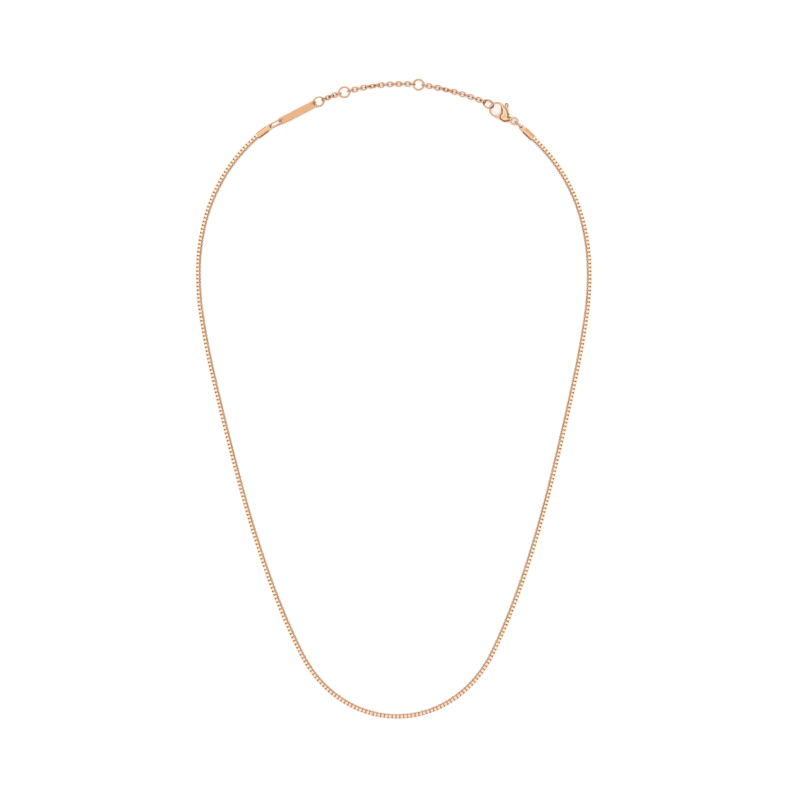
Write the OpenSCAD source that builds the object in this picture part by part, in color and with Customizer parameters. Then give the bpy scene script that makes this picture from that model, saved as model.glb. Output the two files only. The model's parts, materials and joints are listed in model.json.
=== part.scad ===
// Chain necklace: a fine box chain closed by an extension chain, a tag plate and a lobster clasp.
// It lies flat on its back. X runs across the loop, Y from the bottom of the loop up to the clasp.

/* [Box chain] */
// Length of each half of the box chain, from the bottom of the loop to its end cap
chain_half = 193; // [120:1:280]
// Width of a box link across the chain
link_w = 1.2; // [1:0.05:2.4]
// Length of a box link along the chain
link_len = 1; // [0.85:0.05:1.6]
// Thickness of the strip that a box link is folded from
strip_t = 0.16; // [0.1:0.01:0.2]
// Gap between two links that lie the same way up
link_gap = 0.11; // [0.08:0.01:0.2]
// Turn of the chain about its own length at the sides of the loop
side_roll = 12; // [0:1:40]

/* [End caps] */
// Length of the folded channel that grips the chain
grip_len = 3.4; // [2:0.1:6]
// Wall of the channel
cap_wall = 0.15; // [0.1:0.01:0.3]
// Length of the flat tab past the channel
tab_len = 1.7; // [1.4:0.05:3]
// Width of the tab
tab_w = 1.5; // [1.3:0.05:2.2]
// Thickness of the tab
tab_t = 0.32; // [0.2:0.02:0.5]
// Hole in the tab
tab_hole = 0.95; // [0.8:0.05:1.2]

/* [Tag plate] */
// Length of the tag plate
tag_len = 12; // [8:0.1:20]
// Width of the tag plate
tag_w = 2.15; // [1.6:0.05:4]
// Thickness of the tag plate
tag_t = 0.3; // [0.2:0.02:0.5]
// Hole at each end of the tag plate
tag_hole = 1; // [0.8:0.05:1.3]
// Metal left between a hole and the end of the plate
tag_edge = 0.34; // [0.25:0.01:0.8]

/* [Rings and links] */
// Outer diameter of the jump rings
ring_od = 3.45; // [3:0.05:5]
// Wire of the jump rings
ring_wire = 0.44; // [0.3:0.02:0.6]
// Wire of the cable links
cable_wire = 0.36; // [0.25:0.01:0.45]
// Width of the cable links
cable_w = 1.62; // [1.4:0.02:2.4]
// Length of the oval link between the end cap and the tag plate
tag_link_len = 3.9; // [3:0.1:5]
// Length of the oval link between the clasp and its end cap
clasp_link_len = 2.9; // [2.6:0.1:5]
// Width of both oval links
oval_w = 1.9; // [1.6:0.05:3]
// Wire of both oval links
oval_wire = 0.4; // [0.3:0.02:0.5]

/* [Clasp] */
// Radius of the hook, to the middle of its bar
hook_r = 1.95; // [1.8:0.05:2.6]
// Thickness of the hook's bar
hook_bar = 0.62; // [0.5:0.02:0.8]
// Thickness of the clasp at its fullest
clasp_t = 2.4; // [2.1:0.05:3]
// Thickness of the lever
lever_t = 0.6; // [0.4:0.05:0.8]
// Radius of the pin
pin_r = 0.24; // [0.18:0.01:0.3]
// Radius of the tail loop, to the middle of its wire
tail_r = 0.98; // [0.9:0.02:1.3]
// Wire of the tail loop
tail_wire = 0.54; // [0.4:0.02:0.7]

/* [Hidden] */
$fn = 48;

// clearances
side_play = 0.1; // strip to strip, on each side, inside a box link
play = 0.08; // where two rings, links or plates hang in each other
cap_play = 0.03; // chain to the inside of its end cap
pin_play = 0.05; // lever on its pin
pin_seat = 0.01; // pin in the cheeks of the clasp
slot_play = 0.1; // lever to the cheeks of the clasp
tip_play = 0.06; // lever tip to the hook's end

gold = [0.91, 0.72, 0.58];
gold_dark = [0.82, 0.6, 0.45];

// ---- the box chain's route: heading in degrees against the share of a half's length
side_turns = [[0, 0], [0.07, 27], [0.13, 48], [0.18, 63.5], [0.24, 67.5], [0.32, 71.5],
    [0.45, 75.5], [0.62, 77.5], [0.71, 81.5], [0.78, 91], [0.86, 106], [0.94, 124], [1, 138]];
roll_rise = 0.25; // share of a half over which the chain turns to its side_roll
strip_w = link_w - 2 * strip_t - 2 * side_play;
link_step = (link_len + link_gap) / 2;
half_links = round(chain_half / link_step - 0.5);
step = chain_half / (half_links + 0.5);
outer_cut = [0.24 * link_len, 0.14 * link_w]; // corner bevels outside a box link

function along(a) = [cos(a), sin(a)];
function heading(s) = lookup(s / chain_half, side_turns);
function roll_at(s) = side_roll * min(1, s / chain_half / roll_rise);
route = [for (k = 0, p = [0, 0]; k <= half_links + 4;
    p = p + step * along(heading((k + 0.5) * step)), k = k + 1) p];

// heights: the chain lies on its lower edges, ripples a little, and rises to its end caps
ripple = 0.05;
rest_links = 8; // one link in this many lies at the bottom of the ripple and carries the chain
cap_lift = 0.02; // gap under the end caps
rise_len = 26;
cap_half = link_w / 2 + cap_play + cap_wall;
function lying(roll) = link_w / 2 * cos(roll) + strip_w / 2 * sin(roll);
end_z = cap_half * (cos(side_roll) + sin(side_roll)) + cap_lift;
function rise(s) = max(0, min(1, (s - chain_half + rise_len) / rise_len));
function height(k) = let(s = k * step, up = rise(s))
    lying(roll_at(s)) * (1 - up) + end_z * up
    + ripple * (1 - up) * (1 - cos(360 * k / rest_links)) / 2;

// ---- where the chain folds and sways: the gap after each of these links
fold_shares = [0.14, 0.32, 0.5];
sway_share = 0.7;
high_range = [0.79, 0.9]; // where the upper sway is looked for, straight above the lower one
high_share = 0.925;
free_end = 6; // free links left between the last fold and the end cap
folds = [for (f = fold_shares) round(f * half_links)];
sway_low = round(sway_share * half_links);
function gap_x(i) = (route[i][0] + route[i + 1][0]) / 2;
function nearest(i, best) = i > round(high_range[1] * half_links) ? best
    : nearest(i + 1, abs(gap_x(i) - gap_x(sway_low)) < abs(gap_x(best) - gap_x(sway_low))
        ? i : best);
high_first = round(high_range[0] * half_links);
sway_high = nearest(high_first, high_first);
fold_high = round(high_share * half_links);
fold_end = half_links - free_end;
cuts = concat(folds, [sway_low, sway_high, fold_high, fold_end]);

// ---- end caps: each starts at the middle of the gap after the last free link
cap_turn = [-6, 2]; // left and right cap, turned outwards from the chain's own end
extra_links = [2, -2]; // the clasp side of the chain is a little shorter than the tag side
cap_from = 0.55; // free chain before the channel
cap_end = cap_from + grip_len;
tab_edge = 0.32; // metal left past the tab's hole
hole_at = cap_end + tab_len - tab_edge - tab_hole / 2;
hole_contact = hole_at + tab_hole / 2 - play / 2;
hole_z = [1, 1.1]; // height of the left and right tab holes
gripped = floor((cap_end - cap_wall - link_len / 2) / step + 0.5);
seam = 0.14; // gap between the folded flaps
tab_corner = 0.3; // slanted corners of the tab
last_link = [for (e = extra_links) half_links + e];
end_xy = [for (i = last_link) (route[i] + route[i + 1]) / 2];
function cap_heading(side) = heading(chain_half) - cap_turn[side];
function cap_pitch(side) = asin((hole_z[side] - end_z) / hole_contact);
function cap_contact(side) = let(a = cap_heading(side), e = cap_pitch(side), d = hole_contact)
    [end_xy[side][0] + d * cos(e) * cos(a), end_xy[side][1] + d * cos(e) * sin(a),
        hole_z[side]];

// ---- the top of the loop: headings against the share of its length
top_turns = [[0, 27], [0.19, 28], [0.24, 21], [0.3, 16], [0.42, 8], [0.55, -2], [0.63, -11],
    [0.72, -15], [0.83, -22], [0.87, -32], [0.94, -33], [1, -46]];
top_steps = 200;
top_raw = [for (i = 0, p = [0, 0]; i <= top_steps;
    p = p + along(lookup((i + 0.5) / top_steps, top_turns)) / top_steps, i = i + 1) p];
top_from = [-cap_contact(0)[0], cap_contact(0)[1]];
top_to = [cap_contact(1)[0], cap_contact(1)[1]];
raw_span = top_raw[top_steps] - top_raw[0];
top_span = top_to - top_from;
top_len = norm(top_span) / norm(raw_span);
top_turn = atan2(top_span[1], top_span[0]) - atan2(raw_span[1], raw_span[0]);
function turned(p, a) = [p[0] * cos(a) - p[1] * sin(a), p[0] * sin(a) + p[1] * cos(a)];
function between(list, x) = let(i = min(floor(x), len(list) - 2))
    list[i] + (x - i) * (list[i + 1] - list[i]);
function top_xy(a) = top_from
    + top_len * turned(between(top_raw, a / top_len * top_steps) - top_raw[0], top_turn);

// spans of the pieces, from where one hangs in its neighbour to where it hangs in the next
ring_span = ring_od - 2 * ring_wire - play;
tag_span = tag_len - 2 * tag_edge - play;
tag_link_span = tag_link_len - 2 * oval_wire - play;
clasp_link_span = clasp_link_len - 2 * oval_wire - play;
hook_dy = -0.1; // middle of the hook, below the clasp's line of pull
hook_in = sqrt(pow(hook_r - hook_bar / 2, 2) - hook_dy * hook_dy);
tail_at = 7.67; // middle of the tail loop, from the inside of the hook
tail_in = tail_r - tail_wire / 2;
clasp_span = tail_at + tail_in - play;
cable_total = top_len - 4 * ring_span - tag_span - tag_link_span - clasp_link_span - clasp_span;
cable_share = [0.126, 0.444, 0.43];
cable_links = [5, 15, 15];
function repeated(n, v) = [for (i = [1:n]) v];
function stretch(i) = repeated(cable_links[i], cable_total * cable_share[i] / cable_links[i]);
spans = concat([tag_link_span, tag_span, ring_span], stretch(0), [ring_span], stretch(1),
    [ring_span], stretch(2), [ring_span, clasp_span, clasp_link_span]);
marks = [for (i = 0, a = 0; i <= len(spans); a = a + (i < len(spans) ? spans[i] : 0), i = i + 1) a];
// heights of the hanging points against the same share
top_z = [[0, hole_z[0]], [0.05, 1], [0.18, 0.92], [0.79, 0.92], [0.84, 1.32], [0.95, 1.25],
    [1, hole_z[1]]];
hang = [for (a = marks) let(p = top_xy(a)) [p[0], p[1], lookup(a / top_len, top_z)]];
first_cable = [3, 4 + cable_links[0], 5 + cable_links[0] + cable_links[1]];
ring_at = [2, first_cable[0] + cable_links[0], first_cable[1] + cable_links[1],
    first_cable[2] + cable_links[2]];
clasp_at = ring_at[3] + 1;

// turn of each piece about its own line of pull, 0 lying flat and 90 standing on edge
tag_link_roll = 40;
tag_roll = -24;
tag_slant = 0.45; // slanted corners of the tag plate
ring_rolls = [31, 6, -5, -42];
clasp_roll = 0;
clasp_link_roll = 90;
cable_twist = [[[0, 8], [1, 38], [2, 26], [3, 4], [4, 0]],
    [[3, 0], [4, 24], [5, 44], [6, 24], [7, 4], [8, 0]],
    [[3, 0], [4, 24], [5, 44], [6, 24], [7, 4], [8, 0], [12, 0], [13, -8], [14, -25]]];

// the loop is centred on its own bounding box
top_y = (hang[ring_at[2]][1] + hang[ring_at[2] + 1][1]) / 2 + ring_od / 2;
mid_y = (top_y - link_w / 2) / 2;

// ---- clasp outline, from the inside of the hook (x = 0) to the tail
pivot = [4.37, 0.2];
reach = 3.3; // lever tip from its pin
boss_r = 0.72;
knob = [3.22, 2.75];
bulb_r = clasp_t / 2;
bulb = [4.92, -0.55];
neck = [5.95, -0.35];
shoulder = [4.07, 0.7];
root = [2.67, 1.42];
neck_r = 0.7;
shoulder_r = 0.88 * bulb_r;
root_r = 0.52;
hook_from = 66;
hook_to = 288;
neck_end_r = 0.8 * bulb_r; // where the neck runs into the bulb
knob_r = 0.46;
knob_len = 1.1;
pin_len = 1.7 * bulb_r; // its ends are flush with the cheeks
slot_outline = [[2.2, -2.8], [4.9, -2.8], [5.35, -0.8], [5.42, 0.2], [5.1, 1], [4.9, 2.6],
    [2.75, 2.6], [3.1, 1], [3.1, 0.4], [2.6, -0.6]];
jaw_outline = [[1.5, -2.46], [3.1, -2.5], [4.1, -2.1], [4.85, -0.4], [4.37, 0.92],
    [3.75, 0.5], [3.6, -1.1], [2.9, -1.62], [1.5, -2]];
thumb_outline = [[4.95, 0.5], [3.5, 2.9], [2.95, 2.65], [3.75, 0.3]];
spring_from = -28;
spring_turn = 72;
spring_t = 0.1;
spring_gap = 0.06; // spring to the lever's boss
spring_w = lever_t - 0.1;

module frame_between(a, b, roll) {
    u = (b - a) / norm(b - a);
    y0 = cross([0, 0, 1], u) / norm(cross([0, 0, 1], u));
    z0 = cross(u, y0);
    y = y0 * cos(roll) + z0 * sin(roll);
    z = z0 * cos(roll) - y0 * sin(roll);
    m = (a + b) / 2;
    multmatrix([[u[0], y[0], z[0], m[0]], [u[1], y[1], z[1], m[1]], [u[2], y[2], z[2], m[2]],
        [0, 0, 0, 1]])
        children();
}

module placed() {
    translate([0, -mid_y, 0]) children();
}

// one piece of the top of the loop, between two hanging points
module hung(i, roll) {
    placed() frame_between(hang[i], hang[i + 1], roll) children();
}

module bevelled(x, y, cx, cy) {
    polygon([[x - cx, y], [x, y - cy], [x, cy - y], [x - cx, -y],
        [cx - x, -y], [-x, cy - y], [-x, y - cy], [cx - x, y]]);
}

// a box link: a ring of flat strip, its hole along Z
module box_link() {
    linear_extrude(strip_w, center = true) difference() {
        bevelled(link_len / 2, link_w / 2, outer_cut[0], outer_cut[1]);
        square([link_len - 2 * strip_t, link_w - 2 * strip_t], center = true);
    }
}

// link k of the right half, every other one turned through a right angle
module chain_link(k) {
    a = heading(k * step);
    translate([route[k][0], route[k][1], height(k)]) rotate([0, 0, a])
        rotate([roll_at(k * step) + (k % 2 == 0 ? 90 : 0), 0, 0]) box_link();
}

// the links of the right half from first to last: either the ones it rests on or all the others
module right_links(first, last, rests) {
    color(gold) placed() for (k = [first:last]) if ((k % rest_links == 0) == rests) chain_link(k);
}

module left_links(first, last, rests) {
    mirror([1, 0, 0]) right_links(first, last, rests);
}

// side 0 is the left cap, mirrored to its place, and side 1 the right cap
module in_cap(side) {
    placed() mirror([side == 0 ? 1 : 0, 0, 0]) translate([end_xy[side][0], end_xy[side][1], end_z])
        rotate([0, 0, cap_heading(side)]) rotate([0, -cap_pitch(side), 0])
        rotate([side_roll, 0, 0]) children();
}

module gripped_links(side) {
    for (j = [1:gripped])
        in_cap(side) translate([(j - 0.5) * step, 0, 0])
            rotate([(last_link[side] + j) % 2 == 0 ? 90 : 0, 0, 0]) box_link();
}

module end_cap(side) {
    inside = link_w + 2 * cap_play;
    outside = inside + 2 * cap_wall;
    tab_out = tab_len + cap_wall;
    color(gold) in_cap(side) difference() {
        union() {
            translate([cap_from, -outside / 2, -outside / 2]) cube([grip_len, outside, outside]);
            translate([cap_end - cap_wall, 0, -tab_t / 2]) linear_extrude(tab_t)
                polygon([[0, -tab_w / 2], [tab_out - tab_corner, -tab_w / 2],
                    [tab_out, tab_corner - tab_w / 2], [tab_out, tab_w / 2 - tab_corner],
                    [tab_out - tab_corner, tab_w / 2], [0, tab_w / 2]]);
        }
        translate([cap_from - 1, -inside / 2, -inside / 2])
            cube([grip_len - cap_wall + 1, inside, inside]);
        // seam of the folded flaps, on top of the right cap and under the left one
        mirror([0, 0, side == 0 ? 1 : 0]) translate([cap_from - 1, -seam / 2, 0])
            cube([grip_len - cap_wall + 1, seam, outside]);
        translate([hole_at, 0, -tab_t]) cylinder(h = 2 * tab_t, r = tab_hole / 2);
    }
}

module chain_bottom(rests) {
    right_links(0, cuts[0], rests);
    left_links(1, cuts[0], rests);
}

module chain_left(n, rests) {
    left_links(cuts[n - 1] + 1, cuts[n], rests);
}

module chain_right(n, rests) {
    right_links(cuts[n - 1] + 1, cuts[n], rests);
}

module chain_left_end() {
    left_links(fold_end + 1, last_link[0], false);
    left_links(fold_end + 1, last_link[0], true);
    color(gold) gripped_links(0);
}

module chain_right_end() {
    right_links(fold_end + 1, last_link[1], false);
    right_links(fold_end + 1, last_link[1], true);
    color(gold) gripped_links(1);
}

module wire_ring(r, wire) {
    rotate_extrude() translate([r, 0]) circle(r = wire / 2);
}

// an oval link of round wire, lying flat with its length along X
module oval_link(length, width, wire) {
    r = (width - wire) / 2;
    straight = length - width;
    for (side = [0, 180]) rotate([0, 0, side]) {
        translate([straight / 2, 0, 0]) rotate([0, 0, -90]) rotate_extrude(angle = 180)
            translate([r, 0]) circle(r = wire / 2);
        translate([-straight / 2, r, 0]) rotate([0, 90, 0]) cylinder(h = straight, r = wire / 2);
    }
}

module tag_link() {
    color(gold) hung(0, tag_link_roll) oval_link(tag_link_len, oval_w, oval_wire);
}

module tag_plate() {
    x = tag_len / 2;
    y = tag_w / 2;
    slant = tag_slant;
    hole = tag_span / 2 + play / 2 - tag_hole / 2;
    color(gold_dark) hung(1, tag_roll) translate([0, 0, -tag_t / 2]) linear_extrude(tag_t)
        difference() {
            polygon([[-x, slant - y], [slant - x, -y], [x - slant, -y], [x, slant - y],
                [x, y - slant], [x - slant, y], [slant - x, y], [-x, y - slant]]);
            translate([-hole, 0]) circle(r = tag_hole / 2);
            translate([hole, 0]) circle(r = tag_hole / 2);
        }
}

module ring(n) {
    color(gold) hung(ring_at[n - 1], ring_rolls[n - 1])
        wire_ring((ring_od - ring_wire) / 2, ring_wire);
}

// link i of stretch n, from 0; the even ones stand on edge
module cable_link(n, i) {
    span = spans[first_cable[n - 1]];
    length = round(100 * (span + play + 2 * cable_wire)) / 100;
    upright = i % 2 == 0 ? 90 : 0;
    color(gold) hung(first_cable[n - 1] + i, upright + lookup(i, cable_twist[n - 1]))
        oval_link(length, cable_w, cable_wire);
}

module extension_upright(n) {
    for (i = [0:2:cable_links[n - 1] - 1]) cable_link(n, i);
}

module extension_flat(n, i) {
    cable_link(n, 2 * i - 1);
}

module in_clasp() {
    placed() frame_between(hang[clasp_at], hang[clasp_at + 1], clasp_roll)
        translate([-clasp_span / 2, 0, 0]) children();
}

module limb(p, q, rp, rq) {
    d = [q[0] - p[0], q[1] - p[1]];
    translate([p[0], p[1], 0]) {
        sphere(r = rp);
        rotate([0, 0, atan2(d[1], d[0])]) rotate([0, 90, 0])
            cylinder(h = norm(d), r1 = 0.96 * rp, r2 = 0.96 * rq);
    }
}

module hook_arc(from, to) {
    translate([hook_in, hook_dy, 0]) rotate([0, 0, from])
        rotate_extrude(angle = to - from) translate([hook_r, 0]) circle(r = hook_bar / 2);
}

module clasp_body() {
    color(gold) in_clasp() difference() {
        union() {
            limb(neck, bulb, neck_r, neck_end_r);
            limb(shoulder, bulb, shoulder_r, bulb_r);
            limb(root, shoulder, root_r, shoulder_r);
            translate([bulb[0], bulb[1], 0]) sphere(r = bulb_r);
            // the hook's end is cut square to the lever's swing
            difference() {
                hook_arc(hook_from, hook_to);
                intersection() {
                    translate([pivot[0], pivot[1], -hook_bar])
                        cylinder(h = 2 * hook_bar, r = reach + tip_play);
                    translate([0, -2 * hook_r, -hook_bar])
                        cube([2 * hook_r, 1.5 * hook_r, 2 * hook_bar]);
                }
            }
            translate([tail_at, 0, 0]) wire_ring(tail_r, tail_wire);
        }
        // slot for the lever, its knob and its spring
        translate([0, 0, -lever_t / 2 - slot_play]) linear_extrude(lever_t + 2 * slot_play)
            polygon(slot_outline);
        translate([tail_at, 0, -bulb_r]) cylinder(h = 2 * bulb_r, r = tail_in);
        translate([pivot[0], pivot[1], -2 * bulb_r]) cylinder(h = 4 * bulb_r, r = pin_r + pin_seat);
    }
}

module clasp_lever() {
    color(gold) in_clasp() difference() {
        union() {
            translate([0, 0, -lever_t / 2]) linear_extrude(lever_t) intersection() {
                polygon(jaw_outline);
                translate(pivot) circle(r = reach);
            }
            translate([0, 0, -lever_t / 2]) linear_extrude(lever_t)
                polygon(thumb_outline);
            translate([pivot[0], pivot[1], -lever_t / 2]) cylinder(h = lever_t, r = boss_r);
            translate([knob[0], knob[1], 0]) cylinder(h = knob_len, r = knob_r, center = true);
        }
        translate([pivot[0], pivot[1], -lever_t]) cylinder(h = 2 * lever_t, r = pin_r + pin_play);
    }
}

module clasp_pin() {
    color(gold_dark) in_clasp() translate([pivot[0], pivot[1], 0])
        cylinder(h = pin_len, r = pin_r, center = true);
}

// a strip of spring steel bent round the lever's boss
module clasp_spring() {
    color([0.7, 0.7, 0.72]) in_clasp() translate([pivot[0], pivot[1], 0])
        rotate([0, 0, spring_from]) rotate_extrude(angle = spring_turn)
        translate([boss_r + spring_gap, -spring_w / 2]) square([spring_t, spring_w]);
}

module clasp_link() {
    color(gold) hung(clasp_at + 1, clasp_link_roll)
        oval_link(clasp_link_len, oval_w, oval_wire);
}

chain_bottom(false);
chain_bottom(true);  // chain_bottom_rests
chain_left(1, false);  // chain_left_1
chain_left(1, true);  // chain_left_1_rests
chain_left(2, false);  // chain_left_2
chain_left(2, true);  // chain_left_2_rests
chain_left(3, false);  // chain_left_3
chain_left(3, true);  // chain_left_3_rests
chain_left(4, false);  // chain_left_4
chain_left(4, true);  // chain_left_4_rests
chain_left(5, false);  // chain_left_5
chain_left(5, true);  // chain_left_5_rests
chain_left(6, false);  // chain_left_6
chain_left(6, true);  // chain_left_6_rests
chain_left_end();
chain_right(1, false);  // chain_right_1
chain_right(1, true);  // chain_right_1_rests
chain_right(2, false);  // chain_right_2
chain_right(2, true);  // chain_right_2_rests
chain_right(3, false);  // chain_right_3
chain_right(3, true);  // chain_right_3_rests
chain_right(4, false);  // chain_right_4
chain_right(4, true);  // chain_right_4_rests
chain_right(5, false);  // chain_right_5
chain_right(5, true);  // chain_right_5_rests
chain_right(6, false);  // chain_right_6
chain_right(6, true);  // chain_right_6_rests
chain_right_end();
end_cap(0);  // left_end_cap
end_cap(1);  // right_end_cap
tag_link();
tag_plate();
ring(1);  // ring_1
ring(2);  // ring_2
ring(3);  // ring_3
ring(4);  // ring_4
extension_upright(1);  // extension_1_upright
extension_flat(1, 1);  // extension_1_flat_1
extension_flat(1, 2);  // extension_1_flat_2
extension_upright(2);  // extension_2_upright
extension_flat(2, 1);  // extension_2_flat_1
extension_flat(2, 2);  // extension_2_flat_2
extension_flat(2, 3);  // extension_2_flat_3
extension_flat(2, 4);  // extension_2_flat_4
extension_flat(2, 5);  // extension_2_flat_5
extension_flat(2, 6);  // extension_2_flat_6
extension_flat(2, 7);  // extension_2_flat_7
extension_upright(3);  // extension_3_upright
extension_flat(3, 1);  // extension_3_flat_1
extension_flat(3, 2);  // extension_3_flat_2
extension_flat(3, 3);  // extension_3_flat_3
extension_flat(3, 4);  // extension_3_flat_4
extension_flat(3, 5);  // extension_3_flat_5
extension_flat(3, 6);  // extension_3_flat_6
extension_flat(3, 7);  // extension_3_flat_7
clasp_body();
clasp_lever();
clasp_pin();
clasp_spring();
clasp_link();
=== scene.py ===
# Fine box chain necklace in rose gold plated brass, lying open on a pale table.
import bpy, bmesh, json, math, random
import numpy as np
from mathutils import Matrix, Vector


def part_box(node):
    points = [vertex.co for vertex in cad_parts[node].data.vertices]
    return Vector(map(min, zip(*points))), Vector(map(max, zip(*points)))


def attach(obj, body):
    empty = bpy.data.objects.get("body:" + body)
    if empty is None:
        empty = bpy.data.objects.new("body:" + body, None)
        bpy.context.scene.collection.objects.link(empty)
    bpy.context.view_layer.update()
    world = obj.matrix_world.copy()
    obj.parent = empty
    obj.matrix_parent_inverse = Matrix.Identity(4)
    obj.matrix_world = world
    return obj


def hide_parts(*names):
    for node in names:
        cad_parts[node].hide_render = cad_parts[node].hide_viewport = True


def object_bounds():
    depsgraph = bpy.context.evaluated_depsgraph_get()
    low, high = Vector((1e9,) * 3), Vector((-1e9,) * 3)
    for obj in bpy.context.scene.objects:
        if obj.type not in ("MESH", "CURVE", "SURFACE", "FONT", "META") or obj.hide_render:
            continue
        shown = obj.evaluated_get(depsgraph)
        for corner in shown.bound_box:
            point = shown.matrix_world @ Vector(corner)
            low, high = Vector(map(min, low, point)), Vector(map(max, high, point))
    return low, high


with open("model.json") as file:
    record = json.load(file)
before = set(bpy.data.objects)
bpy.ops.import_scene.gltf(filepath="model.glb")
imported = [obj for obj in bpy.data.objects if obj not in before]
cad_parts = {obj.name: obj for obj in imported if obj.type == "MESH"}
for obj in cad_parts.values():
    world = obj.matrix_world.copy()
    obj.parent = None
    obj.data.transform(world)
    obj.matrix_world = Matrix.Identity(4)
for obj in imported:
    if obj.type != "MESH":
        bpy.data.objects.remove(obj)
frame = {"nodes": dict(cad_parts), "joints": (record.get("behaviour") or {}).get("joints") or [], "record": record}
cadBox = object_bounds()
mm = 0.001
weldDistance = 0.0005 * mm  # vertices of one solid nearer than this are one
bodyOf = {node: body for body, nodes in frame["record"]["behaviour"]["bodies"].items() for node in nodes}
jointOf = {joint["child"]: joint for joint in frame["joints"]}
print("frame loaded:", len(frame["nodes"]), "nodes")


# ---------- small helpers ----------

def hexColour(code):
    parts = [int(code[i:i + 2], 16) / 255 for i in (1, 3, 5)]
    return [c / 12.92 if c <= 0.04045 else ((c + 0.055) / 1.055) ** 2.4 for c in parts] + [1]


def addNode(tree, kind, settings={}, links={}):
    node = tree.nodes.new(kind)
    for key, value in settings.items():
        if key in node.inputs:
            node.inputs[key].default_value = value
        else:
            setattr(node, key, value)
    for key, source in links.items():
        tree.links.new(source, node.inputs[key])
    return node


def basis(origin, x, y, z):
    # from a piece's own millimetres to its place in the frame
    m = Matrix.Identity(4)
    for column, axis in enumerate((x, y, z)):
        for row in range(3):
            m[row][column] = axis[row] * mm
    for row in range(3):
        m[row][3] = origin[row]
    return m


def looseParts(node):
    # every separate solid of a CAD node: its middle, its axes from the longest side down, its sizes
    bm = bmesh.new()
    bm.from_mesh(frame["nodes"][node].data)
    bmesh.ops.remove_doubles(bm, verts=bm.verts, dist=weldDistance)
    seen, parts = set(), []
    for start in bm.verts:
        if start in seen:
            continue
        stack, island = [start], []
        seen.add(start)
        while stack:
            v = stack.pop()
            island.append(v.co[:])
            for edge in v.link_edges:
                other = edge.other_vert(v)
                if other not in seen:
                    seen.add(other)
                    stack.append(other)
        points = np.array(island)
        centre = points.mean(0)
        axes = np.linalg.eigh(np.cov((points - centre).T))[1].T
        spread = [(points - centre) @ a for a in axes]
        sizes = [s.max() - s.min() for s in spread]
        order = np.argsort(sizes)[::-1]
        middle = centre + sum((spread[i].max() + spread[i].min()) / 2 * axes[i] for i in range(3))
        parts.append((Vector(middle), [Vector(axes[i]) for i in order], [sizes[i] for i in order]))
    bm.free()
    return parts


def flatFrame(part, along=None):
    # frame of a flat part: X along it, Z square to it and upwards
    middle, axes, _ = part
    x = along or axes[0]
    z = axes[2] if axes[2].z > 0 else -axes[2]
    z = (z - z.dot(x) * x).normalized()
    return basis(middle, x, z.cross(x), z)


def worked(bm, *modifiers):
    # a shape in millimetres, taken through modifiers
    mesh = bpy.data.meshes.new("work")
    bm.to_mesh(mesh)
    bm.free()
    work = bpy.data.objects.new("work", mesh)
    bpy.context.scene.collection.objects.link(work)
    for kind, settings in modifiers:
        modifier = work.modifiers.new(kind, kind)
        for key, value in settings.items():
            setattr(modifier, key, value)
    shaped = bpy.data.meshes.new_from_object(work.evaluated_get(bpy.context.evaluated_depsgraph_get()))
    bpy.data.objects.remove(work)
    bpy.data.meshes.remove(mesh)
    out = bmesh.new()
    out.from_mesh(shaped)
    bpy.data.meshes.remove(shaped)
    return out


def cutBy(bm, cutter):
    mesh = bpy.data.meshes.new("cutter")
    cutter.to_mesh(mesh)
    cutter.free()
    tool = bpy.data.objects.new("cutter", mesh)
    bpy.context.scene.collection.objects.link(tool)
    bm = worked(bm, ("BOOLEAN", {"object": tool, "operation": "DIFFERENCE", "solver": "EXACT"}))
    bpy.data.objects.remove(tool)
    bpy.data.meshes.remove(mesh)
    return bm


def slab(outline, thickness):
    # a flat plate of an outline given in its own plane, centred on it
    bm = bmesh.new()
    face = bm.faces.new([bm.verts.new((x, y, -thickness / 2)) for x, y in outline])
    raised = bmesh.ops.extrude_face_region(bm, geom=[face])["geom"]
    bmesh.ops.translate(bm, verts=[g for g in raised if isinstance(g, bmesh.types.BMVert)],
        vec=(0, 0, thickness))
    bmesh.ops.recalc_face_normals(bm, faces=bm.faces)
    return bm


def post(x, y, radius, height, segments=48):
    bm = bmesh.new()
    bmesh.ops.create_cone(bm, cap_ends=True, segments=segments, radius1=radius, radius2=radius,
        depth=height, matrix=Matrix.Translation((x, y, 0)))
    return bm


def joined(*shapes):
    out = bmesh.new()
    for bm in shapes:
        mesh = bpy.data.meshes.new("part")
        bm.to_mesh(mesh)
        bm.free()
        out.from_mesh(mesh)
        bpy.data.meshes.remove(mesh)
    return out


def finishPiece(name, bm, nodes, material, sharp=40, flatFaces=False):
    mesh = bpy.data.meshes.new(name)
    bm.to_mesh(mesh)
    bm.free()
    piece = bpy.data.objects.new(name, mesh)
    bpy.context.scene.collection.objects.link(piece)
    mesh.materials.append(material)
    mesh.shade_smooth()
    mesh.set_sharp_from_angle(angle=math.radians(sharp))
    if flatFaces:
        piece.modifiers.new("flat faces", "WEIGHTED_NORMAL").keep_sharp = True
    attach(piece, bodyOf[nodes[0]])
    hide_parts(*nodes)
    return piece


def newMaterial(name):
    material = bpy.data.materials.new(name)
    material.use_nodes = True
    tree = material.node_tree
    return material, tree, tree.nodes["Principled BSDF"], addNode(tree, "ShaderNodeTexCoord")


# ---------- finishes ----------

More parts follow.
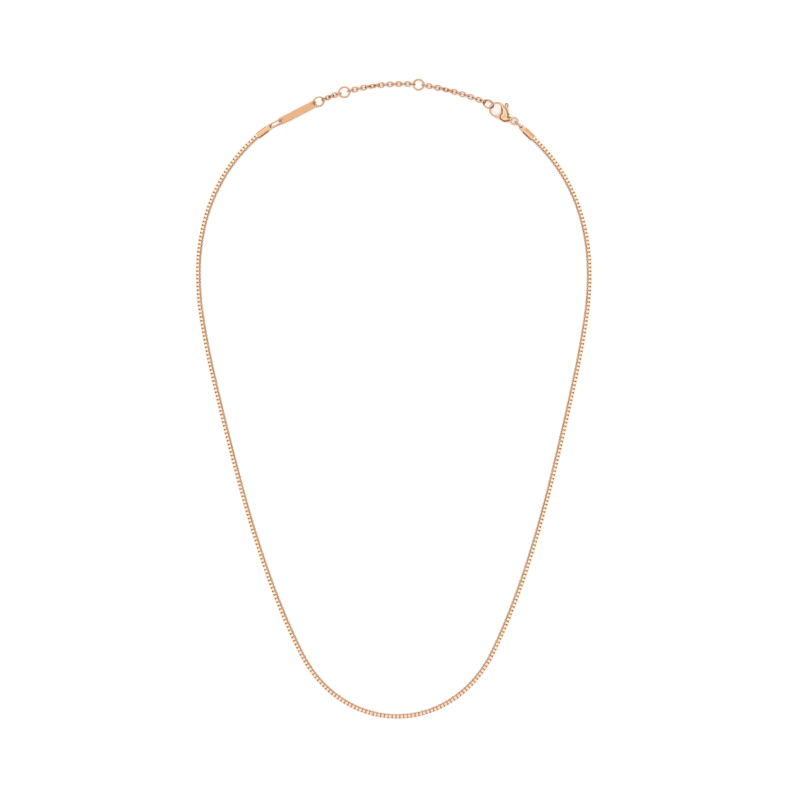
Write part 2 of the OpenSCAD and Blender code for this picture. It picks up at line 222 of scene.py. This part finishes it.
# rose gold plate over brass: its tint wanders a little with the plating's thickness, and one fine
# pattern left by the finishing gives both the gloss and the relief
def goldPlate(name, look):
    material, tree, metal, place = newMaterial(name)
    metal.inputs["Metallic"].default_value = 1
    patches = addNode(tree, "ShaderNodeTexNoise", {"Scale": 1 / (look["patchSize"] * mm), "Detail": 2},
        {"Vector": place.outputs["Object"]})
    colour = addNode(tree, "ShaderNodeMixRGB", {"Color1": hexColour(look["plate"]),
        "Color2": hexColour(look["warmPlate"])}, {"Fac": patches.outputs["Fac"]})
    # painted shade: faces marked as inside a link get a darker, redder colour
    if "insideShadePlate" in look:
        inside = addNode(tree, "ShaderNodeAttribute", {"attribute_name": "inside"})
        colour = addNode(tree, "ShaderNodeMixRGB", {"Color2": hexColour(look["insideShadePlate"])},
            {"Fac": inside.outputs["Fac"], "Color1": colour.outputs["Color"]})
    tree.links.new(colour.outputs["Color"], metal.inputs["Base Color"])
    marks = addNode(tree, "ShaderNodeTexNoise", {"Scale": 1 / (look["markSize"] * mm),
        "Detail": look["markDetail"]}, {"Vector": place.outputs["Object"]})
    gloss = addNode(tree, "ShaderNodeMapRange", {"To Min": look["roughness"][0],
        "To Max": look["roughness"][1]}, {"Value": marks.outputs["Fac"]})
    tree.links.new(gloss.outputs["Result"], metal.inputs["Roughness"])
    relief = addNode(tree, "ShaderNodeBump", {"Strength": look["relief"],
        "Distance": look["reliefDepth"] * mm}, {"Height": marks.outputs["Fac"]})
    tree.links.new(relief.outputs["Normal"], metal.inputs["Normal"])
    return material


# rose gold plate on a lapped brass strip: an even satin face with fine lines along the strip
def lappedPlate(look, towards):
    material, tree, metal, place = newMaterial("rose gold plated lapped brass strip")
    metal.inputs["Metallic"].default_value = 1
    turned = addNode(tree, "ShaderNodeMapping", {"vector_type": "TEXTURE",
        "Rotation": towards, "Scale": (look["lineLength"] * mm, look["lineWidth"] * mm,
        look["lineWidth"] * mm)}, {"Vector": place.outputs["Object"]})
    lines = addNode(tree, "ShaderNodeTexNoise", {"Scale": 1, "Detail": 2},
        {"Vector": turned.outputs["Vector"]})
    colour = addNode(tree, "ShaderNodeMixRGB", {"Color1": hexColour(look["plate"]),
        "Color2": hexColour(look["warmPlate"])}, {"Fac": lines.outputs["Fac"]})
    tree.links.new(colour.outputs["Color"], metal.inputs["Base Color"])
    gloss = addNode(tree, "ShaderNodeMapRange", {"To Min": look["roughness"][0],
        "To Max": look["roughness"][1]}, {"Value": lines.outputs["Fac"]})
    tree.links.new(gloss.outputs["Result"], metal.inputs["Roughness"])
    grain = addNode(tree, "ShaderNodeBump", {"Strength": look["grain"],
        "Distance": look["grainDepth"] * mm}, {"Height": lines.outputs["Fac"]})
    tree.links.new(grain.outputs["Normal"], metal.inputs["Normal"])
    return material


# spring steel strip, rolled: grey, with a faint straw tint from tempering
def rolledSteel(look):
    material, tree, metal, place = newMaterial("tempered spring steel strip")
    metal.inputs["Metallic"].default_value = 1
    tint = addNode(tree, "ShaderNodeTexNoise", {"Scale": 1 / (look["tintSize"] * mm)},
        {"Vector": place.outputs["Object"]})
    colour = addNode(tree, "ShaderNodeMixRGB", {"Color1": hexColour(look["steel"]),
        "Color2": hexColour(look["straw"])}, {"Fac": tint.outputs["Fac"]})
    tree.links.new(colour.outputs["Color"], metal.inputs["Base Color"])
    metal.inputs["Roughness"].default_value = look["roughness"]
    return material


# tumbled strip: bright soft-edged glints outside; inside each link the colour is painted darker and redder, as
# painted shade in the link's hollow
chainMaterial = goldPlate("rose gold plated tumbled brass strip", {"plate": "#F5D8BE",
    "warmPlate": "#EAC3A4", "insideShadePlate": "#A87C5C", "patchSize": 1.6, "markSize": 0.12,
    "markDetail": 3, "roughness": (0.13, 0.27), "relief": 0.12, "reliefDepth": 0.01})
# buffed wire and folded strip: a near-mirror with faint buffing waves
findingMaterial = goldPlate("rose gold plated buffed brass", {"plate": "#E6BD97",
    "warmPlate": "#D7A67E", "patchSize": 2.5, "markSize": 0.7, "markDetail": 2,
    "roughness": (0.12, 0.2), "relief": 0.2, "reliefDepth": 0.02})
# tumbled casting: soft wide glints, with a trace of the mould's grain
castMaterial = goldPlate("rose gold plated tumbled casting", {"plate": "#ECC9A6",
    "warmPlate": "#DFB28D", "patchSize": 2.2, "markSize": 0.25, "markDetail": 3,
    "roughness": (0.27, 0.34), "relief": 0.1, "reliefDepth": 0.01})
steelMaterial = rolledSteel({"steel": "#9C9A98", "straw": "#A89878", "tintSize": 0.8, "roughness": 0.3})
print("finishes made")


# ---------- box chain ----------

# insideShadeDepth: how far in from the outside of the wall the painted shade of the inner faces begins
boxLink = {"length": 0.95, "width": 1.2, "strip": 0.68, "wall": 0.16,
    "corner": 0.2, "crown": 0.02, "bow": 1.12, "insideShadeDepth": 0.6, "wobble": 0.8, "seed": 7}


def makeBoxLink(sizes):
    # a loop of flat strip, its hole along Z: straight plates, one flat across each fold, a crowned face
    bm = bmesh.new()
    bmesh.ops.create_cube(bm, size=1,
        matrix=Matrix.Diagonal((sizes["length"], sizes["width"], sizes["strip"], 1)))
    bmesh.ops.delete(bm, geom=[f for f in bm.faces if abs(f.normal.z) > 0.5], context="FACES_ONLY")
    folds = [e for e in bm.edges if abs(e.verts[0].co.z - e.verts[1].co.z) > sizes["strip"] / 2]
    bmesh.ops.bevel(bm, geom=folds, affect="EDGES", offset=sizes["corner"], segments=1, profile=0.5,
        material=-1)
    across = [e for e in bm.edges if abs(e.verts[0].co.z - e.verts[1].co.z) > sizes["strip"] / 2]
    bmesh.ops.subdivide_edges(bm, edges=across, cuts=1)
    # the strip is a little wider half way along each plate, and crowned all round
    plates = [e for e in bm.edges if abs(e.verts[0].co.z - e.verts[1].co.z) < 0.01
        and abs((e.verts[0].co - e.verts[1].co).normalized().x) in (0, 1)]
    middles = bmesh.ops.subdivide_edges(bm, edges=plates, cuts=1)["geom_inner"]
    for v in middles:
        if isinstance(v, bmesh.types.BMVert):
            v.co.z *= sizes["bow"]
    for v in bm.verts:
        if abs(v.co.z) < 0.1 * sizes["strip"]:
            v.co += sizes["crown"] * Vector((v.co.x, v.co.y, 0)).normalized()
    bmesh.ops.recalc_face_normals(bm, faces=bm.faces)
    outside = list(bm.faces)
    bmesh.ops.solidify(bm, geom=outside, thickness=sizes["wall"])
    return bm


def makeChain():
    proto = bpy.data.meshes.new("boxLink")
    bm = makeBoxLink(boxLink)
    # painted shade mask: 1 on the inner faces of each link, which the finish colours darker
    inside = bm.verts.layers.float.new("inside")
    for v in bm.verts:
        reach = max(abs(v.co.x) - boxLink["length"] / 2, abs(v.co.y) - boxLink["width"] / 2)
        v[inside] = 1 if reach < -boxLink["insideShadeDepth"] * boxLink["wall"] and len(v.link_faces) > 3 else 0
    bm.to_mesh(proto)
    bm.free()
    rand = random.Random(boxLink["seed"])
    runs = {}
    for node in frame["nodes"]:
        if node.startswith("chain_"):
            runs.setdefault(bodyOf[node], []).append(node)
    for body, nodes in runs.items():
        bm = bmesh.new()
        for node in nodes:
            for middle, axes, _ in looseParts(node):
                first = len(bm.verts)
                bm.from_mesh(proto)
                bm.verts.ensure_lookup_table()
                x, y = axes[1], axes[0]
                lie = Matrix.Rotation(math.radians(rand.uniform(-1, 1) * boxLink["wobble"]), 4, "Z")
                bmesh.ops.transform(bm, verts=bm.verts[first:],
                    matrix=basis(middle, x, y, x.cross(y)) @ lie)
        finishPiece("boxChain." + body, bm, nodes, chainMaterial, sharp=50)
    bpy.data.meshes.remove(proto)
    print("box chain:", len(runs), "runs")


makeChain()


# ---------- rings and links of round wire ----------

jumpRing = {"outside": 3.45, "wire": 0.44, "gap": 1.6, "arris": 0.03, "steps": 72, "sides": 16,
    # where each ring's join lies, in degrees round it
    "joins": {"ring_1": 70, "ring_2": 250, "ring_3": 110, "ring_4": 60}}


def makeJumpRing(name, turn):
    # a turn of wire, sawn square and pushed shut: a hairline shows where its ends meet
    s = jumpRing
    bm = bmesh.new()
    middle = (s["outside"] - s["wire"]) / 2
    end = bmesh.ops.create_circle(bm, segments=s["sides"], radius=s["wire"] / 2,
        matrix=Matrix.Translation((middle, 0, 0)) @ Matrix.Rotation(math.radians(90), 4, "X"))
    edges = list({e for v in end["verts"] for e in v.link_edges})
    bmesh.ops.spin(bm, geom=edges + end["verts"], cent=(0, 0, 0), axis=(0, 0, 1),
        angle=math.radians(360 - s["gap"]), steps=s["steps"], use_merge=False)
    caps = bmesh.ops.holes_fill(bm, edges=[e for e in bm.edges if e.is_boundary], sides=0)["faces"]
    bmesh.ops.recalc_face_normals(bm, faces=bm.faces)
    rims = list({e for f in caps for e in f.edges})
    bmesh.ops.bevel(bm, geom=rims, affect="EDGES", offset=s["arris"], segments=2, profile=0.5,
        material=-1)
    bmesh.ops.rotate(bm, verts=bm.verts, cent=(0, 0, 0),
        matrix=Matrix.Rotation(math.radians(turn), 3, "Z"))
    along = Vector(jointOf[name]["axis"])
    bmesh.ops.transform(bm, verts=bm.verts, matrix=flatFrame(looseParts(name)[0], along))
    finishPiece("jumpRing." + name, bm, [name], findingMaterial)


for name, turn in jumpRing["joins"].items():
    makeJumpRing(name, turn)
print("jump rings made")

ovalLinks = {"tag_link": {"length": 3.9, "width": 1.9, "wire": 0.4},
    "clasp_link": {"length": 2.9, "width": 1.9, "wire": 0.4},
    "cable": {"length": 1.94, "width": 1.62, "wire": 0.34}}
wireSides = 14
bendSteps = 14


def makeOval(length, width, wire):
    # wire bent round two ends, its ends soldered on one straight side
    bm = bmesh.new()
    r, reach = (width - wire) / 2, (length - width) / 2
    end = bmesh.ops.create_circle(bm, segments=wireSides, radius=wire / 2,
        matrix=Matrix.Translation((reach, r, 0)) @ Matrix.Rotation(math.radians(90), 4, "Y"))
    ring = list({e for v in end["verts"] for e in v.link_edges})
    for side in (1, -1):
        turned = bmesh.ops.spin(bm, geom=ring, cent=(side * reach, 0, 0), axis=(0, 0, 1),
            angle=-math.pi, steps=bendSteps, use_merge=False)["geom_last"]
        ring = [g for g in turned if isinstance(g, bmesh.types.BMEdge)]
        run = bmesh.ops.extrude_edge_only(bm, edges=ring)["geom"]
        bmesh.ops.translate(bm, verts=[g for g in run if isinstance(g, bmesh.types.BMVert)],
            vec=(-2 * side * reach, 0, 0))
        moved = {g for g in run if isinstance(g, bmesh.types.BMVert)}
        ring = [g for g in run if isinstance(g, bmesh.types.BMEdge) and set(g.verts) <= moved]
    bmesh.ops.remove_doubles(bm, verts=bm.verts, dist=0.02 * wire)
    bmesh.ops.recalc_face_normals(bm, faces=bm.faces)
    return bm


def placeOval(part, sizes):
    bm = makeOval(**sizes)
    bmesh.ops.transform(bm, verts=bm.verts, matrix=flatFrame(part))
    return bm


for node in ("tag_link", "clasp_link"):
    bm = placeOval(looseParts(node)[0], ovalLinks[node])
    finishPiece("ovalLink." + node, bm, [node], findingMaterial)
for node in frame["nodes"]:
    if node.startswith("extension_"):
        # each as long as the solid it stands in for
        links = [placeOval(part, dict(ovalLinks["cable"], length=part[2][0] / mm))
            for part in looseParts(node)]
        finishPiece("cableLink." + node, joined(*links), [node], findingMaterial)
print("oval and cable links made")


# ---------- tag plate ----------

arrisAngle = 35  # a fold sharper than this, in degrees, has its edge broken
tagPlate = {"length": 12, "width": 2.15, "thick": 0.3, "slant": 0.45, "hole": 1.0, "edge": 0.34,
    "arris": 0.05, "satin": {"plate": "#E8BE98", "warmPlate": "#DFB28A", "lineLength": 2.4,
        "lineWidth": 0.07, "grain": 0.04, "grainDepth": 0.004, "roughness": (0.46, 0.54)}}


def makeTagPlate():
    s = tagPlate
    x, y, c = s["length"] / 2, s["width"] / 2, s["slant"]
    bm = slab([(-x, c - y), (c - x, -y), (x - c, -y), (x, c - y), (x, y - c), (x - c, y), (c - x, y),
        (-x, y - c)], s["thick"])
    for side in (-1, 1):
        bm = cutBy(bm, post(side * (x - s["edge"] - s["hole"] / 2), 0, s["hole"] / 2, 1))
    bm = worked(bm, ("BEVEL", {"width": s["arris"], "segments": 3, "limit_method": "ANGLE",
        "angle_limit": math.radians(arrisAngle)}))
    place = flatFrame(looseParts("tag_plate")[0])
    bmesh.ops.transform(bm, verts=bm.verts, matrix=place)
    satin = lappedPlate(s["satin"], place.to_euler())
    finishPiece("tagPlate", bm, ["tag_plate"], satin, flatFaces=True)


makeTagPlate()
print("tag plate made")


# ---------- end caps ----------

endCap = {"grip": 3.4, "inside": 1.26, "wall": 0.15, "seam": 0.06, "flapDip": 0.05, "corner": 0.36,
    "cornerSteps": 5, "linksCaught": 6, "channelArrisAngle": 50,
    "tabWidth": 1.5, "tabThick": 0.32, "tabCorner": 0.3, "hole": 0.95, "holeEdge": 0.32,
    "arris": 0.04, "tabArris": 0.06}


def makeEndCap(side):
    s = endCap
    node, chain = side + "_end_cap", "chain_" + side + "_end"
    low, high = (Vector(c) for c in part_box(node))
    nearest = sorted(looseParts(chain), key=lambda part: (part[0] - (low + high) / 2).length)
    caught = nearest[:s["linksCaught"]]
    first, last = caught[0], max(caught, key=lambda part: (part[0] - caught[0][0]).length)
    x = (last[0] - first[0]).normalized()
    points = [v.co.copy() for v in frame["nodes"][node].data.vertices]
    reach = sorted((p - first[0]).dot(x) for p in points)
    if abs(reach[0]) > abs(reach[-1]):
        x, reach = -x, [-reach[-1], -reach[0]]
    z = max((a * (1 if a.z > 0 else -1) for a in first[1]), key=lambda a: a.z)
    z = (z - z.dot(x) * x).normalized()
    place = basis(first[0] + x * reach[0], x, z.cross(x), z)
    # the channel: a strip folded round the chain, its two flaps nearly meeting in a seam
    flip = 1 if side == "right" else -1  # the seam shows on the right cap, and lies under the left
    half = s["inside"] / 2 + s["wall"]
    corners = [(s["seam"] / 2, half - s["flapDip"]), (half, half), (half, -half), (-half, -half),
        (-half, half), (-s["seam"] / 2, half - s["flapDip"])]
    bm = bmesh.new()
    rail = [bm.verts.new((0, y, z * flip)) for y, z in corners]
    line = [bm.edges.new(pair) for pair in zip(rail, rail[1:])]
    run = bmesh.ops.extrude_edge_only(bm, edges=line)["geom"]
    bmesh.ops.translate(bm, verts=[g for g in run if isinstance(g, bmesh.types.BMVert)],
        vec=(s["grip"], 0, 0))
    folds = [e for e in bm.edges if len(e.link_faces) == 2]
    bmesh.ops.bevel(bm, geom=folds, affect="EDGES", offset=s["corner"],
        segments=s["cornerSteps"], profile=0.5, material=-1)
    bmesh.ops.recalc_face_normals(bm, faces=bm.faces)
    if sum(f.normal.dot(f.calc_center_median() * Vector((0, 1, 1))) for f in bm.faces) < 0:
        bmesh.ops.reverse_faces(bm, faces=bm.faces)
    bmesh.ops.solidify(bm, geom=list(bm.faces), thickness=s["wall"])
    channel = worked(bm, ("BEVEL", {"width": s["arris"], "segments": 2, "limit_method": "ANGLE",
        "angle_limit": math.radians(s["channelArrisAngle"])}))
    # the blind end
    w = s["inside"] / 2 + 0.5 * s["wall"]
    stop = slab([(-w, -w), (w, -w), (w, w - s["flapDip"]), (-w, w - s["flapDip"])], s["wall"])
    upright = Matrix(((0, 0, 1, 0), (1, 0, 0, 0), (0, flip, 0, 0), (0, 0, 0, 1)))
    bmesh.ops.transform(stop, verts=stop.verts,
        matrix=Matrix.Translation((s["grip"] - s["wall"], 0, 0)) @ upright)
    bmesh.ops.recalc_face_normals(stop, faces=stop.faces)
    # the tab and its hole
    end = (reach[-1] - reach[0]) / mm
    a, t, c = s["grip"] - s["wall"], s["tabWidth"] / 2, s["tabCorner"]
    tab = slab([(a, -t), (end - c, -t), (end, c - t), (end, t - c), (end - c, t), (a, t)],
        s["tabThick"])
    tab = cutBy(tab, post(end - s["holeEdge"] - s["hole"] / 2, 0, s["hole"] / 2, 1))
    tab = worked(tab, ("BEVEL", {"width": s["tabArris"], "segments": 3, "limit_method": "ANGLE",
        "angle_limit": math.radians(arrisAngle)}))
    bm = joined(channel, stop, tab)
    bmesh.ops.transform(bm, verts=bm.verts, matrix=place)
    finishPiece("endCap." + side, bm, [node], findingMaterial, flatFaces=True)


makeEndCap("left")
makeEndCap("right")
print("end caps made")


# ---------- lobster clasp ----------

# in the clasp's own plane: X from the inside of the hook to the tail, Y towards the thumb knob
clasp = {"pivot": (4.37, 0.2), "hook": (1.64, -0.1), "hookRadius": 1.95, "bar": 0.62,
    "hookFrom": 60, "hookTo": 276, "tail": 7.67, "tailRadius": 0.98, "tailWire": 0.54,
    # the body's middle line and radius, from the hook's root to the tail
    "body": [(2.35, 1.62, 0.38), (2.85, 1.38, 0.64), (3.5, 1.0, 0.94), (4.15, 0.35, 1.18),
        (4.75, -0.4, 1.3), (5.3, -0.62, 1.16), (5.85, -0.45, 0.86), (6.4, -0.15, 0.5)],
    "belly": [(4.1, -0.1, 1.0), (4.25, -0.8, 1.2), (4.8, -0.85, 1.22)], "flatten": 0.9,
    # the slot the lever swings in, and how much the hole of the tail is opened
    "slot": 0.8, "slotOutline": [(2.2, -2.8), (4.9, -2.8), (5.35, -0.8), (5.42, 0.2), (5.1, 1),
        (4.9, 2.6), (2.75, 2.6), (3.1, 1), (3.1, 0.4), (2.6, -0.6)], "tailPlay": 0.02,
    "voxel": 0.055, "smooth": 30}
# the lever: flat jaw and thumb plates round the pin's boss, a rounded jaw bar, grip and lip
lever = {"thick": 0.6, "boss": 0.72, "bore": 0.29,
    "jaw": [(2.9, -1.6), (3.2, -2.1), (4.1, -1.9), (4.85, -0.4), (4.37, 0.92), (3.75, 0.5),
        (3.6, -1.0)], "jawBar": [(2.35, -1.97, 0.31), (2.9, -1.86, 0.35), (3.5, -1.55, 0.38)],
    "thumb": [(4.95, 0.5), (3.5, 2.9), (2.95, 2.65), (3.75, 0.3)],
    "grip": [(3.62, 1.95, 0.42), (3.22, 2.72, 0.5)], "lip": (280, 300, 0.62),
    "voxel": 0.045, "smooth": 6}
arcSides, limbSides = 20, 32
claspAlong = Vector(jointOf["clasp"]["axis"]).normalized()
claspUp = -Vector(jointOf["clasp_lever"]["axis"]).normalized()
claspAcross = claspUp.cross(claspAlong)
claspPlace = basis(Vector(jointOf["clasp_lever"]["pos_m"]) - clasp["pivot"][0] * mm * claspAlong
    - clasp["pivot"][1] * mm * claspAcross, claspAlong, claspAcross, claspUp)


def limb(stations, steps=4):
    # a smooth round limb: rings of (x, y, radius) bridged along a curve, with a ball at each end
    bm = bmesh.new()
    line = [Vector(p) for p in stations]
    line = [2 * line[0] - line[1]] + line + [2 * line[-1] - line[-2]]
    curve = []
    for a, b, c, d in zip(line, line[1:], line[2:], line[3:]):
        for i in range(steps):
            t = i / steps
            curve.append(0.5 * (2 * b + (c - a) * t + (2 * a - 5 * b + 4 * c - d) * t * t
                + (3 * b - a - 3 * c + d) * t * t * t))
    curve.append(line[-2])
    before = None
    for i, (x, y, radius) in enumerate(curve):
        nearby = curve[max(i - 1, 0)], curve[min(i + 1, len(curve) - 1)]
        heading = math.atan2(nearby[1].y - nearby[0].y, nearby[1].x - nearby[0].x)
        across = (Matrix.Translation((x, y, 0)) @ Matrix.Rotation(heading, 4, "Z")
            @ Matrix.Rotation(math.radians(90), 4, "Y"))
        ring = bmesh.ops.create_circle(bm, segments=limbSides, radius=radius, matrix=across)["verts"]
        loop = list({e for v in ring for e in v.link_edges})
        if before:
            bmesh.ops.bridge_loops(bm, edges=before + loop)
        before = loop
    bmesh.ops.holes_fill(bm, edges=[e for e in bm.edges if e.is_boundary], sides=0)
    bmesh.ops.recalc_face_normals(bm, faces=bm.faces)
    for x, y, radius in (curve[0], curve[-1]):
        bmesh.ops.create_uvsphere(bm, u_segments=limbSides, v_segments=20, radius=radius,
            matrix=Matrix.Translation((x, y, 0)))
    return bm


def makeArc(centre, radius, wire, start, stop, steps):
    # round bar bent about a centre, from one angle to another, or closed on itself
    bm = bmesh.new()
    across = (Matrix.Translation((centre[0], centre[1], 0)) @ Matrix.Rotation(math.radians(start), 4, "Z")
        @ Matrix.Translation((radius, 0, 0)) @ Matrix.Rotation(math.radians(90), 4, "X"))
    end = bmesh.ops.create_circle(bm, segments=arcSides, radius=wire / 2, matrix=across)
    edges = list({e for v in end["verts"] for e in v.link_edges})
    whole = stop - start == 360
    bmesh.ops.spin(bm, geom=edges + end["verts"], cent=(centre[0], centre[1], 0), axis=(0, 0, 1),
        angle=math.radians(stop - start), steps=steps, use_merge=whole)
    if not whole:
        bmesh.ops.holes_fill(bm, edges=[e for e in bm.edges if e.is_boundary], sides=0)
    bmesh.ops.recalc_face_normals(bm, faces=bm.faces)
    return bm


def smoothed(bm, times):
    for _ in range(times):
        bmesh.ops.smooth_vert(bm, verts=bm.verts, factor=0.5, use_axis_x=True, use_axis_y=True,
            use_axis_z=True)


def makeClasp():
    # cast in one: the solids run into each other, then the slot and the holes are cut
    s = clasp
    full = joined(limb(s["body"]), limb(s["belly"]))
    bmesh.ops.scale(full, verts=full.verts, vec=(1, 1, s["flatten"]))
    body = joined(full,
        makeArc(s["hook"], s["hookRadius"], s["bar"], s["hookFrom"], s["hookTo"], steps=60),
        makeArc((s["tail"], 0), s["tailRadius"], s["tailWire"], 0, 360, steps=64))
    remesh = ("REMESH", {"mode": "VOXEL", "voxel_size": s["voxel"], "use_smooth_shade": True})
    body = worked(body, remesh)
    body = cutBy(body, slab(s["slotOutline"], s["slot"]))
    tailHole = s["tailRadius"] - s["tailWire"] / 2 - s["tailPlay"]
    body = cutBy(body, post(s["tail"], 0, tailHole, 3))
    body = worked(body, remesh)
    smoothed(body, s["smooth"])
    bmesh.ops.transform(body, verts=body.verts, matrix=claspPlace)
    finishPiece("claspBody", body, ["clasp_body"], castMaterial, sharp=70)

    s = lever
    x, y = clasp["pivot"]
    lipFrom, lipTo, lipWire = s["lip"]
    arm = joined(slab(s["jaw"], s["thick"]), slab(s["thumb"], s["thick"]),
        post(x, y, s["boss"], s["thick"]), limb(s["grip"]), limb(s["jawBar"]),
        makeArc(clasp["hook"], clasp["hookRadius"], lipWire, lipFrom, lipTo, steps=20))
    remesh = ("REMESH", {"mode": "VOXEL", "voxel_size": s["voxel"]})
    arm = worked(arm, remesh)
    arm = cutBy(arm, post(x, y, s["bore"], 2))
    arm = worked(arm, remesh)
    smoothed(arm, s["smooth"])
    bmesh.ops.transform(arm, verts=arm.verts, matrix=claspPlace)
    finishPiece("claspLever", arm, ["clasp_lever"], castMaterial, sharp=70)


makeClasp()

claspPin = {"radius": 0.24, "length": 2.04, "dome": 0.07}
claspSpring = {"radius": 0.78, "thick": 0.1, "width": 0.5, "from": -28, "turn": 72, "arris": 0.015}


def makePin():
    # a plain pin with slightly rounded ends
    bm = post(clasp["pivot"][0], clasp["pivot"][1], claspPin["radius"], claspPin["length"])
    rims = [e for e in bm.edges if abs(e.verts[0].co.z - e.verts[1].co.z) < 0.01]
    bmesh.ops.bevel(bm, geom=rims, affect="EDGES", offset=claspPin["dome"], segments=4, profile=0.5,
        material=-1)
    bmesh.ops.transform(bm, verts=bm.verts, matrix=claspPlace)
    finishPiece("claspPin", bm, ["clasp_pin"], findingMaterial)


def makeSpring():
    # a leaf of steel strip on edge, bent round the pin
    s = claspSpring
    px, py = clasp["pivot"]
    inner, outer, half = s["radius"], s["radius"] + s["thick"], s["width"] / 2
    bm = bmesh.new()
    a = math.radians(s["from"])
    ends = [bm.verts.new((px + r * math.cos(a), py + r * math.sin(a), h))
        for r, h in ((inner, -half), (outer, -half), (outer, half), (inner, half))]
    edges = [bm.edges.new((ends[i], ends[(i + 1) % 4])) for i in range(4)]
    bmesh.ops.spin(bm, geom=edges + ends, cent=(px, py, 0), axis=(0, 0, 1),
        angle=math.radians(s["turn"]), steps=20, use_merge=False)
    bmesh.ops.holes_fill(bm, edges=[e for e in bm.edges if e.is_boundary], sides=0)
    bmesh.ops.recalc_face_normals(bm, faces=bm.faces)
    long = [e for e in bm.edges if len(e.link_faces) == 2 and e.calc_face_angle() > 1.2]
    bmesh.ops.bevel(bm, geom=long, affect="EDGES", offset=s["arris"], segments=2, profile=0.5,
        material=-1)
    bmesh.ops.transform(bm, verts=bm.verts, matrix=claspPlace)
    finishPiece("claspSpring", bm, ["clasp_spring"], steelMaterial, sharp=30)


makePin()
makeSpring()
print("clasp made")


# ---------- table, light and camera ----------

# card: the brown of a painted reflection, seen only by glossy rays in place of the white board
table = {"size": 3, "gap": 0.01, "board": "#F7F6F4", "fibre": "#F3F2F0", "fibreSize": 1.5,
    "roughness": 0.9, "specular": 0.2, "glow": 0.25, "paintedReflectionCard": "#A07C62"}
studio = {"height": 1.932, "aim": (1.46, -0.37), "roll": -0.533, "lens": 300, "sensor": 36,
    "strength": 1.0,
    # the tent against the sine of the height: brown card round the foot, a bright ring part way up,
    # an even ceiling, and the dim lens straight overhead
    "tent": [(0.0, (0.34, 0.2, 0.13)), (0.38, (0.3, 0.17, 0.1)), (0.52, (0.8, 0.68, 0.58)),
        (0.66, (1.9, 1.86, 1.8)), (0.85, (1.65, 1.62, 1.58)), (0.93, (1.02, 1, 0.98)),
        (0.99, (0.98, 0.97, 0.97)), (1.0, (0.62, 0.64, 0.74))]}


# matt white paper board: no shine, a faint mottling from its fibres, and a little light of its own
# so that the white is even out to the edges of the view
def makeTable():
    t = table
    bm = bmesh.new()
    bmesh.ops.create_grid(bm, x_segments=1, y_segments=1, size=t["size"] / 2)
    mesh = bpy.data.meshes.new("table")
    bm.to_mesh(mesh)
    bm.free()
    board = bpy.data.objects.new("table", mesh)
    bpy.context.scene.collection.objects.link(board)
    board.location.z = cadBox[0][2] - t["gap"] * mm
    material, tree, paper, place = newMaterial("matt white paper board")
    paper.inputs["Roughness"].default_value = t["roughness"]
    paper.inputs["Specular IOR Level"].default_value = t["specular"]
    paper.inputs["Emission Color"].default_value = hexColour("#FFFFFF")
    paper.inputs["Emission Strength"].default_value = t["glow"]
    fibre = addNode(tree, "ShaderNodeTexNoise", {"Scale": 1 / (t["fibreSize"] * mm), "Detail": 3},
        {"Vector": place.outputs["Object"]})
    shade = addNode(tree, "ShaderNodeMixRGB", {"Color1": hexColour(t["board"]),
        "Color2": hexColour(t["fibre"])}, {"Fac": fibre.outputs["Fac"]})
    tree.links.new(shade.outputs["Color"], paper.inputs["Base Color"])
    # painted reflection: glossy rays see a brown card in place of the white board, so the metal mirrors brown
    # where it faces the table
    ray = addNode(tree, "ShaderNodeLightPath")
    paintedReflectionCard = addNode(tree, "ShaderNodeBsdfDiffuse", {"Color": hexColour(t["paintedReflectionCard"])})
    both = addNode(tree, "ShaderNodeMixShader", {}, {"Fac": ray.outputs["Is Glossy Ray"]})
    tree.links.new(paper.outputs["BSDF"], both.inputs[1])
    tree.links.new(paintedReflectionCard.outputs["BSDF"], both.inputs[2])
    tree.links.new(both.outputs["Shader"], tree.nodes["Material Output"].inputs["Surface"])
    mesh.materials.append(material)


def makeStudio():
    s = studio
    world = bpy.data.worlds.new("light tent")
    bpy.context.scene.world = world
    world.use_nodes = True
    tree = world.node_tree
    sky = tree.nodes["Background"]
    place = addNode(tree, "ShaderNodeTexCoord")
    parts = addNode(tree, "ShaderNodeSeparateXYZ", {}, {"Vector": place.outputs["Generated"]})
    curve = addNode(tree, "ShaderNodeValToRGB", {}, {"Fac": parts.outputs["Z"]})
    peak = max(value for _, glow in s["tent"] for value in glow)
    ramp = curve.color_ramp
    while len(ramp.elements) < len(s["tent"]):
        ramp.elements.new(0.5)
    for element, (position, glow) in zip(ramp.elements, s["tent"]):
        element.position = position
        element.color = [value / peak for value in glow] + [1]
    tree.links.new(curve.outputs["Color"], sky.inputs["Color"])
    sky.inputs["Strength"].default_value = peak * s["strength"]
    camera = bpy.data.cameras.new("camera")
    camera.lens = s["lens"]
    camera.sensor_width = s["sensor"]
    camera.clip_start = 0.01
    eye = bpy.data.objects.new("camera", camera)
    eye.location = (s["aim"][0] * mm, s["aim"][1] * mm, s["height"])
    eye.rotation_euler = (0, 0, math.radians(s["roll"]))
    bpy.context.scene.collection.objects.link(eye)
    bpy.context.scene.camera = eye
    bpy.context.scene.view_settings.view_transform = "Standard"


makeTable()
makeStudio()
print("table, light and camera set")
